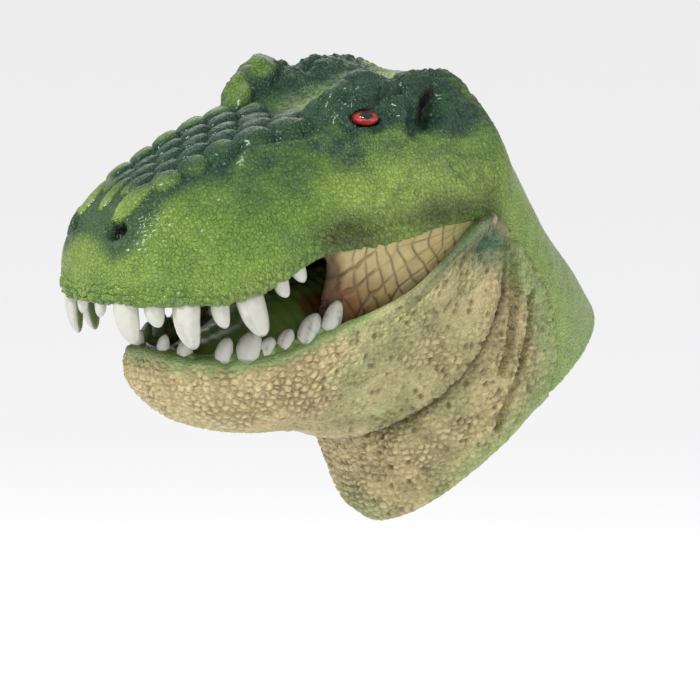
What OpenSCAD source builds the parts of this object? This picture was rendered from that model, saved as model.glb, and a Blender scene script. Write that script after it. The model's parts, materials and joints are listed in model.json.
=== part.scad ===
// Hand puppet: the head of a meat-eating dinosaur with a mouth that opens.
// One hand goes in at the wrist opening, the fingers into the upper head and the thumb into the jaw.
// The origin is the centre of the wrist opening. The snout points along -Y, and +Z is up.
// Shapes are laid out as [across, behind the snout's tip, above the front lip] and moved by spot().

/* [Size] */
// Width of the head at the corners of the mouth
head_w = 82; // [72:1:92]
// How far the snout's tip is in front of the centre of the wrist opening
snout_reach = 122; // [112:1:132]
// How high the front lip is above the centre of the wrist opening
lip_rise = 38; // [30:1:46]

/* [Rubber] */
// Thickness of the outer skin
skin_wall = 2.8; // [2:0.1:3.6]
// Thickness of the linings that close the mouth off from the hand
lining_wall = 2.2; // [1.6:0.1:3]
// Gap left between pieces that move apart
moving_gap = 0.5; // [0.3:0.1:1]

/* [Mouth] */
// How much the palate is arched
palate_arch = 4; // [0:0.5:6]
// How much the floor of the mouth sags
floor_sag = 3; // [0:0.5:5]
// Height of the tongue above the floor
tongue_h = 6.5; // [3:0.5:7]
// Outer radius of the fold at the back of the mouth
gullet_r = 6.4; // [5:0.1:6.6]

/* [Detail] */
// Steps from one rib of the skin to the next
rib_steps = 3; // [2:1:3]
// Steps across the skin, from one edge to the other
cross_steps = 32; // [20:2:36]

/* [Hidden] */
$fn = 48;
green = "#76a83a";
tan = "#cdb987";
web_tan = "#b89a62";
mouth_red = "#5a2a22";
gum_green = "#6d8a3c";
ivory = "#dcdcd2";
eye_red = "#c22a26";

// The line through both corners of the mouth, which the two jaws swing about
hinge_s = 98;
hinge_h = 17;
drawn_w = 82;

// Ribs of the upper skin, from the snout's tip over the head and down the nape to the rim.
// A rib's ends are on the lip or on the side seam, and its middle is on the centre line:
// [half width, s and h of the ends, s and h of the middle, roundness]
upper_ribs = [
    [ 1.0,  -0.6,   0.0,  -0.6,   0.6, 1.00],
    [ 8.0,   0.2,   0.0,  -0.8,   7.0, 0.95],
    [14.5,   2.8,   0.0,   0.8,  15.0, 0.95],
    [20.5,   8.0,   0.0,   5.0,  22.5, 0.92],
    [26.0,  15.5,   0.2,  12.5,  28.5, 0.90],
    [31.0,  25.5,   1.0,  23.0,  32.5, 0.88],
    [34.8,  37.5,   6.0,  36.0,  37.5, 0.86],
    [37.5,  50.0,  12.2,  50.0,  41.0, 0.85],
    [39.5,  65.0,  13.4,  64.0,  43.0, 0.85],
    [41.0,  80.0,  16.4,  78.0,  46.5, 0.85],
    [40.8,  92.0,  17.6,  92.0,  50.5, 0.85],
    [40.2,  97.0,  17.8, 104.0,  51.0, 0.90],
    [40.0,  98.5,  17.2, 112.5,  45.0, 0.90],
    [39.8, 103.5,  13.5, 118.0,  35.0, 0.95],
    [38.5, 112.5,   4.0, 125.0,  23.0, 1.00],
    [36.0, 120.5,  -8.0, 134.0,  10.5, 1.00],
    [32.5, 125.0, -20.0, 145.0,  -1.0, 1.00],
    [29.0, 125.0, -32.0, 154.5, -11.5, 1.00]];
// Ribs of the lower skin, from the chin under the jaw and down the throat to the rim
lower_ribs = [
    [ 1.0,  17.8, -15.0,  17.8, -15.6, 1.00],
    [ 7.0,  18.6, -15.2,  17.4, -19.5, 0.95],
    [12.8,  21.6, -16.0,  18.6, -24.0, 0.95],
    [18.2,  27.2, -16.5,  21.5, -28.5, 0.95],
    [23.0,  35.0, -15.9,  26.5, -32.5, 0.92],
    [27.6,  44.0, -13.8,  32.0, -35.2, 0.90],
    [32.2,  54.5,  -9.0,  38.0, -37.0, 0.90],
    [36.3,  65.0,  -5.0,  43.0, -38.0, 0.90],
    [39.0,  75.0,   0.0,  48.0, -38.4, 0.90],
    [40.3,  86.5,   8.8,  53.0, -38.6, 0.90],
    [40.4,  94.0,  14.8,  59.0, -38.6, 0.90],
    [40.2,  96.7,  16.6,  66.0, -38.8, 0.90],
    [40.0,  98.5,  17.0,  74.0, -40.3, 0.95],
    [39.8, 103.5,  13.0,  78.5, -44.0, 1.00],
    [38.5, 112.5,   3.8,  80.5, -49.5, 1.00],
    [36.0, 120.5,  -8.2,  82.0, -55.0, 1.00],
    [32.5, 125.0, -20.2,  84.5, -61.0, 1.00],
    [29.0, 125.0, -32.0,  89.5, -65.0, 1.00]];

// Where one node ends and the next begins, counted in ribs
head_back = 11.3;
nape_front = 13.2;
jaw_back = 9;
throat_front = 14;
rim = len(upper_ribs) - 1;
seam_gap = 0.15;

// Humps on the upper skin: [rib, turn from the centre line, reach, rise]
humps = concat(
    [[8.35, 36, 11, 8], [10.5, 30, 10, 5.5]],
    [for (k = [0:7]) [3.6 + 0.6 * k, 16, 4.5, 2.5]]);

// Teeth: [across, s, h of the root, width, length, lean to the back]
upper_teeth = [
    [ 4.0,  2.6,  0.2, 3.6,  5.0,   0],
    [12.0,  5.0,  0.0, 6.0, 11.0,   0],
    [17.5,  9.8,  0.0, 5.0,  6.5,   0],
    [22.6, 16.4, -0.2, 6.6, 12.0,   0],
    [26.8, 23.8, -0.2, 4.4,  6.8,   4],
    [29.9, 30.6,  1.4, 6.8, 11.5,  14],
    [31.6, 38.8,  5.8, 4.0,  5.8,  14],
    [33.0, 43.0,  9.6, 4.0,  6.0,  14]];
lower_teeth = [
    [ 5.4, 21.0, -16.2, 4.0,  6.0, -8],
    [11.0, 23.6, -16.8, 4.2,  5.8, -6],
    [18.0, 30.6, -16.9, 4.4,  6.4,  4],
    [21.0, 36.4, -16.4, 6.4,  7.4,  4],
    [23.3, 40.6, -15.6, 4.4,  5.0,  4],
    [25.2, 44.8, -14.2, 4.4,  5.6,  8],
    [27.6, 50.2, -12.6, 5.6,  8.0, 10],
    [29.8, 55.8,  -9.6, 4.8,  8.0,  8]];
tooth_root = 2.4;

eye_place = [29.3, 66.6, 43.3];
eye_r = 3.4;

// What the linings, gums and webs are measured from: the skin's edge
lining_bite = 0.6;
palate_lift = 2.6;
palate_ribs = [1.3, 9.8];
floor_drop = 2.6;
floor_ribs = [1.3, 8.6];
gum_inset = 3.6;
upper_gum_lift = 2.4;
lower_gum_lift = -0.6;
upper_gum_ribs = 7.3;
lower_gum_ribs = 6.2;
web_front = 58.5;
web_back = 94;
web_wall = 1.8;
tongue_ribs = [3, 8.4];
tongue_half_w = 16;

// From the layout's [across, behind the tip, above the lip] to the part's own axes
function spot(p) = [p.x * head_w / drawn_w, p.y - snout_reach, p.z + lip_rise];

// A smooth curve through the rows of a table, at a place counted in rows
function along(rows, t) =
    let (last = len(rows) - 1,
         c = min(max(t, 0), last),
         i = min(floor(c), last - 1),
         f = c - i,
         a = rows[i],
         b = rows[i + 1],
         slope_a = i == 0 ? b - a : (b - rows[i - 1]) / 2,
         slope_b = i == last - 1 ? b - a : (rows[i + 2] - a) / 2)
    (2 * f^3 - 3 * f^2 + 1) * a + (f^3 - 2 * f^2 + f) * slope_a
        + (3 * f^2 - 2 * f^3) * b + (f^3 - f^2) * slope_b;

// The row at which one column of a table reaches a value, found by halving
function row_at(rows, column, value, low, high, tries = 18) =
    let (middle = (low + high) / 2)
    tries == 0 ? middle
    : along(rows, middle)[column] < value ? row_at(rows, column, value, middle, high, tries - 1)
    : row_at(rows, column, value, low, middle, tries - 1);

// A point of a skin without its humps: turn runs from -90 on the right edge to 90 on the left
function skin_point(ribs, t, turn) =
    let (r = along(ribs, t),
         side = sign(turn) * pow(abs(sin(turn)), r[5]),
         rise = pow(max(cos(turn), 0), r[5]))
    spot([r[0] * side, r[1] + (r[3] - r[1]) * rise, r[2] + (r[4] - r[2]) * rise]);

// The direction out of the hand's space at that point: facing is 1 on the upper skin, -1 below
function skin_normal(ribs, t, turn, facing) =
    let (last = len(ribs) - 1,
         back = skin_point(ribs, min(t + 0.05, last), turn) - skin_point(ribs, max(t - 0.05, 0), turn),
         across = skin_point(ribs, t, min(turn + 1, 90)) - skin_point(ribs, t, max(turn - 1, -90)),
         n = facing * cross(across, back))
    n / norm(n);

// How far the humps lift the upper skin at a point
function hump_rise(p) =
    let (parts = [for (h = humps, side = [-1, 1])
        let (d = norm(p - skin_point(upper_ribs, h[0], side * h[1])))
        h[3] * exp(-pow(d / h[2], 2))])
    [for (i = 0, total = parts[0]; i < len(parts); i = i + 1, total = total + (i < len(parts) ? parts[i] : 0))
        total][len(parts) - 1];

// A closed solid between two grids of points, with the first on the outside
module sheet(outer, inner) {
    rows = len(outer);
    cols = len(outer[0]);
    base = rows * cols;
    at = function (i, j) i * cols + j;
    faces = concat(
        [for (i = [0:rows - 2], j = [0:cols - 2]) each [
            [at(i, j), at(i, j + 1), at(i + 1, j + 1)],
            [at(i, j), at(i + 1, j + 1), at(i + 1, j)],
            [base + at(i, j), base + at(i + 1, j + 1), base + at(i, j + 1)],
            [base + at(i, j), base + at(i + 1, j), base + at(i + 1, j + 1)]]],
        [for (j = [0:cols - 2]) each [
            [at(0, j + 1), at(0, j), base + at(0, j)],
            [at(0, j + 1), base + at(0, j), base + at(0, j + 1)],
            [at(rows - 1, j), at(rows - 1, j + 1), base + at(rows - 1, j + 1)],
            [at(rows - 1, j), base + at(rows - 1, j + 1), base + at(rows - 1, j)]]],
        [for (i = [0:rows - 2]) each [
            [at(i, 0), at(i + 1, 0), base + at(i + 1, 0)],
            [at(i, 0), base + at(i + 1, 0), base + at(i, 0)],
            [at(i + 1, cols - 1), at(i, cols - 1), base + at(i, cols - 1)],
            [at(i + 1, cols - 1), base + at(i, cols - 1), base + at(i + 1, cols - 1)]]]);
    points = concat([for (row = outer) each row], [for (row = inner) each row]);
    polyhedron(points, faces);
}

// A closed solid through a row of rings that each have the same number of points
module ring_loft(rings) {
    count = len(rings[0]);
    last = len(rings) - 1;
    at = function (i, k) i * count + k % count;
    faces = concat(
        [for (i = [0:last - 1], k = [0:count - 1]) each [
            [at(i, k), at(i, k + 1), at(i + 1, k + 1)],
            [at(i, k), at(i + 1, k + 1), at(i + 1, k)]]],
        [[for (k = [count - 1:-1:0]) at(0, k)], [for (k = [0:count - 1]) at(last, k)]]);
    polyhedron([for (ring = rings) each ring], faces);
}

// A stretch of the upper or lower skin from one rib to another
module upper_stretch(from, to) {
    steps = ceil((to - from) * rib_steps);
    turns = [for (j = [0:cross_steps]) 90 - 180 * j / cross_steps];
    places = [for (i = [0:steps]) from + (to - from) * i / steps];
    outer = [for (t = places) [for (a = turns)
        let (p = skin_point(upper_ribs, t, a))
        p + hump_rise(p) * skin_normal(upper_ribs, t, a, 1)]];
    inner = [for (t = places) [for (a = turns)
        skin_point(upper_ribs, t, a) - skin_wall * skin_normal(upper_ribs, t, a, 1)]];
    sheet(outer, inner);
}

module lower_stretch(from, to) {
    steps = ceil((to - from) * rib_steps);
    turns = [for (j = [0:cross_steps]) 180 * j / cross_steps - 90];
    places = [for (i = [0:steps]) from + (to - from) * i / steps];
    outer = [for (t = places) [for (a = turns) skin_point(lower_ribs, t, a)]];
    inner = [for (t = places) [for (a = turns)
        skin_point(lower_ribs, t, a) - skin_wall * skin_normal(lower_ribs, t, a, -1)]];
    sheet(outer, inner);
}

// One conical tooth with its root at z = 0, pointing up, and set into the gum below that
module tooth(width, length) {
    rotate_extrude()
        polygon(concat(
            [[0, -tooth_root], [0.36 * width, -tooth_root]],
            [for (k = [0:6]) [width / 2 * (1 - pow(k / 6.4, 2)), length * k / 6.4]],
            [[0, length]]));
}

module set_tooth(row, side, up) {
    color(ivory)
        translate(spot([side * row[0], row[1], row[2]]))
            rotate([up ? -row[5] : 180 + row[5], 0, 0])
                tooth(row[3], row[4]);
}

// The lip's edge from the right side (negative) round the front to the left, counted in ribs
function lip_line(ribs, a) =
    let (r = along(ribs, abs(a)))
    spot([sign(a) * r[0], r[1], r[2]]);

// A rounded bar that runs just inside the lip and holds the teeth
module gum(ribs, reach, lift) {
    steps = 36;
    rings = [for (i = [0:steps])
        let (a = reach * (1 - 2 * i / steps),
             run = lip_line(ribs, a + 0.2) - lip_line(ribs, a - 0.2),
             inward = [-run.y, run.x, 0] / norm([run.x, run.y]),
             middle = lip_line(ribs, a) + gum_inset * inward + [0, 0, lift])
        [for (k = [0:9]) middle + 2.2 * cos(36 * k) * inward + [0, 0, 2.6 * sin(36 * k)]]];
    ring_loft(rings);
}

// The palate and the mouth's floor: u runs from -1 on the right to 1 on the left
function palate_point(t, u) =
    let (r = along(upper_ribs, t))
    spot([(r[0] - skin_wall + lining_bite) * u, r[1], r[2] + palate_lift + palate_arch * (1 - u^2)]);

function floor_point(t, u) =
    let (r = along(lower_ribs, t))
    spot([(r[0] - skin_wall + lining_bite) * u, r[1], r[2] - floor_drop - floor_sag * (1 - u^2)]);

// A cheek web's middle surface: v runs from the mouth's corner to its front edge, w from top to bottom
function web_point(v, w) =
    let (s = web_back + (web_front - web_back) * v,
         top = along(upper_ribs, row_at(upper_ribs, 1, s, 0, head_back)),
         bottom = along(lower_ribs, row_at(lower_ribs, 1, s, 0, jaw_back + 2)),
         bow = sin(180 * w))
    spot([(top[0] * (1 - w) + bottom[0] * w) - skin_wall / 2 - 2.5 * v * bow,
          s + 7 * v^3 * bow,
          (top[2] - moving_gap) * (1 - w) + (bottom[2] + moving_gap) * w]);

module cheek_web() {
    places = [for (i = [0:10]) i / 10];
    half = [web_wall / 2, 0, 0];
    color(web_tan)
        sheet([for (v = places) [for (w = places) web_point(v, w) + half]],
              [for (v = places) [for (w = places) web_point(v, w) - half]]);
}

// Upper head
module head_skin() {
    color(green)
        upper_stretch(0, head_back);
}

module palate() {
    places = [for (i = [0:22]) palate_ribs[0] + (palate_ribs[1] - palate_ribs[0]) * i / 22];
    across = [for (j = [0:8]) 1 - j / 4];
    top = [for (t = places) [for (u = across) palate_point(t, u)]];
    color(mouth_red)
        sheet(top, [for (row = top) [for (p = row) p - [0, 0, lining_wall]]]);
}

module upper_gum() {
    color(gum_green)
        gum(upper_ribs, upper_gum_ribs, upper_gum_lift);
}

module eye(side) {
    color(eye_red)
        translate(spot([side * eye_place.x, eye_place.y, eye_place.z]))
            sphere(r = eye_r);
}

// Lower jaw
module jaw_skin() {
    color(tan)
        lower_stretch(0, jaw_back);
}

module mouth_floor() {
    places = [for (i = [0:22]) floor_ribs[0] + (floor_ribs[1] - floor_ribs[0]) * i / 22];
    across = [for (j = [0:8]) j / 4 - 1];
    bottom = [for (t = places) [for (u = across) floor_point(t, u)]];
    color(gum_green)
        sheet(bottom, [for (row = bottom) [for (p = row) p + [0, 0, lining_wall]]]);
}

module lower_gum() {
    color(gum_green)
        gum(lower_ribs, lower_gum_ribs, lower_gum_lift);
}

module tongue() {
    steps = 16;
    rings = [for (i = [0:steps])
        let (f = i / steps,
             t = tongue_ribs[0] + (tongue_ribs[1] - tongue_ribs[0]) * f,
             swell = pow(max(sin(180 * (0.06 + 0.88 * f)), 0), 0.5),
             middle = floor_point(t, 0) + [0, 0, lining_wall - 0.6])
        [for (k = [0:13]) let (a = 360 * k / 14)
            middle + [tongue_half_w * swell * cos(a), 0, (sin(a) > 0 ? tongue_h + 0.6 : 0.8) * swell * sin(a)]]];
    color(gum_green)
        ring_loft(rings);
}

// Neck
module nape_sleeve() {
    color(green)
        upper_stretch(nape_front, rim);
}

module throat_sleeve() {
    color(tan)
        lower_stretch(throat_front, rim);
}

module nape_fold() {
    color(green)
        upper_stretch(head_back + seam_gap, nape_front - seam_gap);
}

module throat_fold() {
    color(tan)
        lower_stretch(jaw_back + seam_gap, throat_front - seam_gap);
}

module gullet_fold() {
    half_length = 33;
    wrap = 300;
    color(mouth_red)
        translate(spot([0, hinge_s, hinge_h]))
            rotate([0, 90, 0])
                rotate([0, 0, 270 - wrap / 2 - 180])
                    rotate_extrude(angle = wrap)
                        translate([gullet_r - lining_wall, -half_length])
                            square([lining_wall, 2 * half_length]);
}

head_skin();
palate();
upper_gum();
eye(1);  // eye_left
eye(-1);  // eye_right
for (k = [1:len(upper_teeth)]) {
    set_tooth(upper_teeth[k - 1], 1, false);
    set_tooth(upper_teeth[k - 1], -1, false);
}
jaw_skin();
mouth_floor();
lower_gum();
tongue();
for (k = [1:len(lower_teeth)]) {
    set_tooth(lower_teeth[k - 1], 1, true);
    set_tooth(lower_teeth[k - 1], -1, true);
}
nape_sleeve();
throat_sleeve();
nape_fold();
throat_fold();
cheek_web();  // cheek_web_left
mirror([1, 0, 0]) cheek_web();  // cheek_web_right
gullet_fold();
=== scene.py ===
import itertools
import json
import math

import bmesh
import bpy
import numpy as np
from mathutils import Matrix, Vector


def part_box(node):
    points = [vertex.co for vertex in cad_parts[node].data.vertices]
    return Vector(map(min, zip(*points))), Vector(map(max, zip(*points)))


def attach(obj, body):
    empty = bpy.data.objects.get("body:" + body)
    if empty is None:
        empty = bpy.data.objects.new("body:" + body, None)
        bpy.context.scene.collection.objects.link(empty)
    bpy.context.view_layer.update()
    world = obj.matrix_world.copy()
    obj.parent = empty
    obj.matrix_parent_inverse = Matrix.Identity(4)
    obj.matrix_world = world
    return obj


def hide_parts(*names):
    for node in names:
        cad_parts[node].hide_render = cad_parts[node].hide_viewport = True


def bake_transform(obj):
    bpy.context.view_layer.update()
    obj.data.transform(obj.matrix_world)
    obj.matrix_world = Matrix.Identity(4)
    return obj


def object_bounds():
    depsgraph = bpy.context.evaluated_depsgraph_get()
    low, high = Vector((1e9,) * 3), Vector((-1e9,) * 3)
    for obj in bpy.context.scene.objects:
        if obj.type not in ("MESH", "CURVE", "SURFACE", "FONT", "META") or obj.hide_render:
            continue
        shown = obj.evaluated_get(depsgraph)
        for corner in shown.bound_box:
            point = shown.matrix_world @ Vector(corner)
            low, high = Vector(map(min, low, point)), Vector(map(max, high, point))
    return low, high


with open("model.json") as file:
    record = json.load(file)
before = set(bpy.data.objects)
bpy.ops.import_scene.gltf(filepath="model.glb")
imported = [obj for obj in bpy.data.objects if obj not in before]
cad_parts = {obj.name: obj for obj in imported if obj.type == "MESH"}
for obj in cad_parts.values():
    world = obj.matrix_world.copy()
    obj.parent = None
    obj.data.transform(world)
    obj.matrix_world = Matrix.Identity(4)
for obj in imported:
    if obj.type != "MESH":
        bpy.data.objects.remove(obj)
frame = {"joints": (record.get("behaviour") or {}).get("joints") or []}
cad_low, cad_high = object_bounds()

# Shapes are laid out in millimetres as [across, behind the snout's tip, above the front lip], as the CAD
# source lays them out. to_row() puts them in the row frame by the line that both jaws swing about.
MM = 0.001
HINGE_S, HINGE_H = 98.0, 17.0
HINGE = np.array(frame["joints"][0]["pos_m"])
SKIN_WALL = 2.8
LEAST_WALL = 0.8  # the rubber left under the deepest pit
COARSE = 4  # the inner side's grid takes every fourth place of the outer one

# Ribs of the skins: [half width, s and h of the ends, s and h of the middle, roundness]
UPPER_RIBS = np.array([
    [1.0, -0.6, 0.0, -0.6, 0.6, 1.00],
    [8.0, 0.2, 0.0, -0.8, 7.0, 0.95],
    [14.5, 2.8, 0.0, 0.8, 15.0, 0.95],
    [20.5, 8.0, 0.0, 5.0, 22.5, 0.92],
    [26.0, 15.5, 0.2, 12.5, 28.5, 0.90],
    [31.0, 25.5, 1.0, 23.0, 32.5, 0.88],
    [34.8, 37.5, 6.0, 36.0, 37.5, 0.86],
    [37.5, 50.0, 12.2, 50.0, 41.0, 0.85],
    [39.5, 65.0, 13.4, 64.0, 43.0, 0.85],
    [41.0, 80.0, 16.4, 78.0, 46.5, 0.85],
    [40.8, 92.0, 17.6, 92.0, 50.5, 0.85],
    [40.2, 97.0, 17.8, 104.0, 51.0, 0.90],
    [40.0, 98.5, 17.2, 112.5, 45.0, 0.90],
    [39.8, 103.5, 13.5, 118.0, 35.0, 0.95],
    [38.5, 112.5, 4.0, 125.0, 23.0, 1.00],
    [36.0, 120.5, -8.0, 134.0, 10.5, 1.00],
    [32.5, 125.0, -20.0, 145.0, -1.0, 1.00],
    [29.0, 125.0, -32.0, 154.5, -11.5, 1.00]])
LOWER_RIBS = np.array([
    [1.0, 17.8, -15.0, 17.8, -15.6, 1.00],
    [7.0, 18.6, -15.2, 17.4, -19.5, 0.95],
    [12.8, 21.6, -16.0, 18.6, -24.0, 0.95],
    [18.2, 27.2, -16.5, 21.5, -28.5, 0.95],
    [23.0, 35.0, -15.9, 26.5, -32.5, 0.92],
    [27.6, 44.0, -13.8, 32.0, -35.2, 0.90],
    [32.2, 54.5, -9.0, 38.0, -37.0, 0.90],
    [36.3, 65.0, -5.0, 43.0, -38.0, 0.90],
    [39.0, 75.0, 0.0, 48.0, -38.4, 0.90],
    [40.3, 86.5, 8.8, 53.0, -38.6, 0.90],
    [40.4, 94.0, 14.8, 59.0, -38.6, 0.90],
    [40.2, 96.7, 16.6, 66.0, -38.8, 0.90],
    [40.0, 98.5, 17.0, 74.0, -40.3, 0.95],
    [39.8, 103.5, 13.0, 78.5, -44.0, 1.00],
    [38.5, 112.5, 3.8, 80.5, -49.5, 1.00],
    [36.0, 120.5, -8.2, 82.0, -55.0, 1.00],
    [32.5, 125.0, -20.2, 84.5, -61.0, 1.00],
    [29.0, 125.0, -32.0, 89.5, -65.0, 1.00]])
RIM = len(UPPER_RIBS) - 1

# Teeth: [across, s, h of the root, width, length, lean to the back in degrees]
UPPER_TEETH = np.array([
    [4.0, 2.6, 0.2, 3.6, 5.0, 0],
    [12.0, 5.0, 0.0, 6.0, 11.0, 0],
    [17.5, 9.8, 0.0, 5.0, 6.5, 0],
    [22.6, 16.4, -0.2, 6.6, 12.0, 0],
    [26.8, 23.8, -0.2, 4.4, 6.8, 4],
    [29.9, 30.6, 1.4, 6.8, 11.5, 14],
    [31.6, 38.8, 5.8, 4.0, 5.8, 14],
    [33.0, 43.0, 9.6, 4.0, 6.0, 14]])
LOWER_TEETH = np.array([
    [5.4, 21.0, -16.2, 4.0, 6.0, -8],
    [11.0, 23.6, -16.8, 4.2, 5.8, -6],
    [18.0, 30.6, -16.9, 4.4, 6.4, 4],
    [21.0, 36.4, -16.4, 6.4, 7.4, 4],
    [23.3, 40.6, -15.6, 4.4, 5.0, 4],
    [25.2, 44.8, -14.2, 4.4, 5.6, 8],
    [27.6, 50.2, -12.6, 5.6, 8.0, 10],
    [29.8, 55.8, -9.6, 4.8, 8.0, 8]])

# Rows of raised scales on the snout: [across, s, half width, half length, rise]
SCUTES = [
    [8.4, 10.0, 2.8, 6.2, 0.9], [10.4, 18.6, 3.3, 4.3, 2.4], [11.2, 26.2, 3.6, 4.2, 3.2],
    [12.2, 34.0, 4.0, 4.6, 3.8], [13.8, 42.8, 4.6, 5.2, 4.4], [15.8, 52.2, 5.2, 5.4, 4.8],
    [18.6, 60.4, 5.6, 4.4, 3.4], [22.0, 69.0, 6.4, 6.4, 3.0],
    [4.2, 14.0, 2.0, 5.2, 0.9], [5.0, 22.6, 2.4, 4.2, 1.7], [5.6, 30.4, 2.7, 4.4, 2.4],
    [6.4, 38.8, 3.0, 4.8, 3.0], [7.4, 48.0, 3.5, 5.2, 3.4], [8.8, 57.8, 4.0, 5.2, 3.2],
    [0.0, 10.0, 1.8, 5.6, 0.8], [0.0, 18.6, 2.2, 4.4, 1.4], [0.0, 26.6, 2.5, 4.2, 1.9],
    [0.0, 34.6, 2.8, 4.4, 2.3], [0.0, 43.2, 3.2, 4.8, 2.7], [0.0, 52.6, 3.8, 5.2, 2.6],
    [0.0, 62.4, 4.2, 5.0, 1.6]]

EYE_AT = np.array([29.9, 66.6, 44.4])
EYE_R = 3.2
NOSTRIL_AT = np.array([9.6, 3.9, 17.9])
UPPER_LIP_END = 11.4
TONGUE_RIBS = (2.6, 8.3)
GULLET_R, GULLET_WRAP = 6.4, 290

# Colours as linear red, green and blue
GREEN = (0.120, 0.245, 0.034)
YELLOW_GREEN = (0.235, 0.345, 0.052)
LIME = (0.340, 0.480, 0.110)
# DARK_GREEN is the dark spray, and painted shade in the crest's gaps, in the nostril and round the eye.
DARK_GREEN = (0.010, 0.052, 0.029)
# OLIVE is a tone of the rubber in places, and painted shade in the upper skin's hollows.
OLIVE = (0.075, 0.105, 0.015)
TAN = (0.560, 0.460, 0.235)
# TAN_PIT is dark tan in the pebbles' grooves and pits, and painted shade under the jaw and in the neck's
# folds.
TAN_PIT = (0.120, 0.098, 0.030)
TAN_PINK = (0.600, 0.410, 0.230)
FRINGE = (0.240, 0.350, 0.120)
TEAL = (0.050, 0.115, 0.055)
OCHRE = (0.500, 0.390, 0.160)
# BROWN is a colour of the mouth, and painted shade on the web's tucked edge.
BROWN = (0.055, 0.022, 0.008)
IVORY = (0.480, 0.480, 0.420)
GREY = (0.120, 0.118, 0.115)
GUM = (0.085, 0.150, 0.028)
TONGUE = (0.150, 0.230, 0.050)
TONGUE_STRIPE = (0.160, 0.035, 0.012)
WEB_SHADE = (0.200, 0.095, 0.030)
# WEB_CREASE is painted shade in the web's creases.
WEB_CREASE = (0.150, 0.085, 0.030)
MOUTH = (0.026, 0.008, 0.006)
RED = (0.400, 0.006, 0.010)
DARK_RED = (0.300, 0.004, 0.004)
# BLACK is specks and pupils, and painted shadow in the nostril, in the hollow behind the eye and round the
# eye.
BLACK = (0.004, 0.004, 0.004)

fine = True


# Numbers ---------------------------------------------------------------------

def step(low, high, x):
    """0 below low, 1 above high, and smooth between."""
    f = np.clip((x - low) / (high - low), 0, 1)
    return f * f * (3 - 2 * f)


def bell(x):
    return np.exp(-x * x)


def hashed(cell, seed):
    """A repeatable number from 0 to 1 for each whole-numbered place."""
    n = cell[..., 0] * 73856093 ^ cell[..., 1] * 19349663 ^ cell[..., 2] * 83492791 ^ (seed + 1) * 26544357
    n = (n ^ (n >> 13)) & 0x7FFFFFFF
    n = (n * 1274126177) & 0x7FFFFFFFFFFF
    n = (n ^ (n >> 15)) & 0xFFFFFF
    return n / float(0x1000000)


def noise(p, size, seed):
    """Smooth noise from 0 to 1 with lumps of about that size."""
    q = p / size
    base = np.floor(q).astype(np.int64)
    f = q - base
    f = f * f * (3 - 2 * f)
    total = 0
    for corner in itertools.product((0, 1), repeat=3):
        share = np.prod(np.where(corner, f, 1 - f), axis=-1)
        total = total + share * hashed(base + np.array(corner), seed)
    return total


def layered(p, size, seed):
    finest = 0.15 * noise(p, size / 4.3, seed + 13)
    return 0.55 * noise(p, size, seed) + 0.3 * noise(p, size / 2.1, seed + 7) + finest


def cells(p, size, seed):
    """Distances to the two nearest of points strewn one to a cube, and the nearest's own number."""
    q = p / size
    base = np.floor(q).astype(np.int64)
    first = np.full(q.shape[:-1], 9.0)
    second = first.copy()
    own = np.zeros_like(first)
    for offset in itertools.product((-1, 0, 1), repeat=3):
        cell = base + np.array(offset)
        spread = np.stack([hashed(cell, seed + k) for k in range(3)], axis=-1)
        d = np.sqrt((((cell + 0.15 + 0.7 * spread) - q) ** 2).sum(-1))
        nearer = d < first
        second = np.where(nearer, first, np.minimum(second, d))
        own = np.where(nearer, spread[..., 0], own)
        first = np.where(nearer, d, first)
    return first, second, own


def line_distance(p, points):
    """How far each point is from a bent line."""
    best = np.full(p.shape[:-1], 1e9)
    for a, b in zip(np.array(points[:-1], float), np.array(points[1:], float)):
        run = b - a
        f = np.clip(((p - a) @ run) / (run @ run), 0, 1)
        best = np.minimum(best, np.sqrt(((p - a - f[..., None] * run) ** 2).sum(-1)))
    return best


def mirrored(p):
    """The same places with both sides of the head folded onto the left one."""
    return np.concatenate([np.abs(p[..., :1]), p[..., 1:]], axis=-1)


def mound(p, at, reach, rise):
    return rise * np.exp(-(((p - np.array(at)) / np.array(reach)) ** 2).sum(-1))


def mix(a, b, share):
    """Colours a and b mixed by an array of shares."""
    share = np.clip(share, 0, 1)[..., None]
    return np.asarray(a) * (1 - share) + np.asarray(b) * share


# Skins -----------------------------------------------------------------------

def ribs_at(ribs, t):
    """The ribs' values at places counted in ribs, on a smooth curve through them."""
    last = len(ribs) - 1
    t = np.clip(t, 0, last)
    i = np.minimum(np.floor(t).astype(int), last - 1)
    f = (t - i)[..., None]
    a, b = ribs[i], ribs[i + 1]
    slope_a = np.where((i == 0)[..., None], b - a, (b - ribs[np.maximum(i - 1, 0)]) / 2)
    slope_b = np.where((i == last - 1)[..., None], b - a, (ribs[np.minimum(i + 2, last)] - a) / 2)
    return ((2 * f ** 3 - 3 * f ** 2 + 1) * a + (f ** 3 - 2 * f ** 2 + f) * slope_a
            + (3 * f ** 2 - 2 * f ** 3) * b + (f ** 3 - f ** 2) * slope_b)


def skin_points(ribs, t, turn):
    w, end_s, end_h, mid_s, mid_h, roundness = np.moveaxis(ribs_at(ribs, t), -1, 0)
    sine, cosine = np.sin(np.radians(turn)), np.clip(np.cos(np.radians(turn)), 0, 1)
    rise = cosine ** roundness
    return np.stack([w * np.sign(sine) * np.abs(sine) ** roundness,
                     end_s + (mid_s - end_s) * rise, end_h + (mid_h - end_h) * rise], axis=-1)


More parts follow.
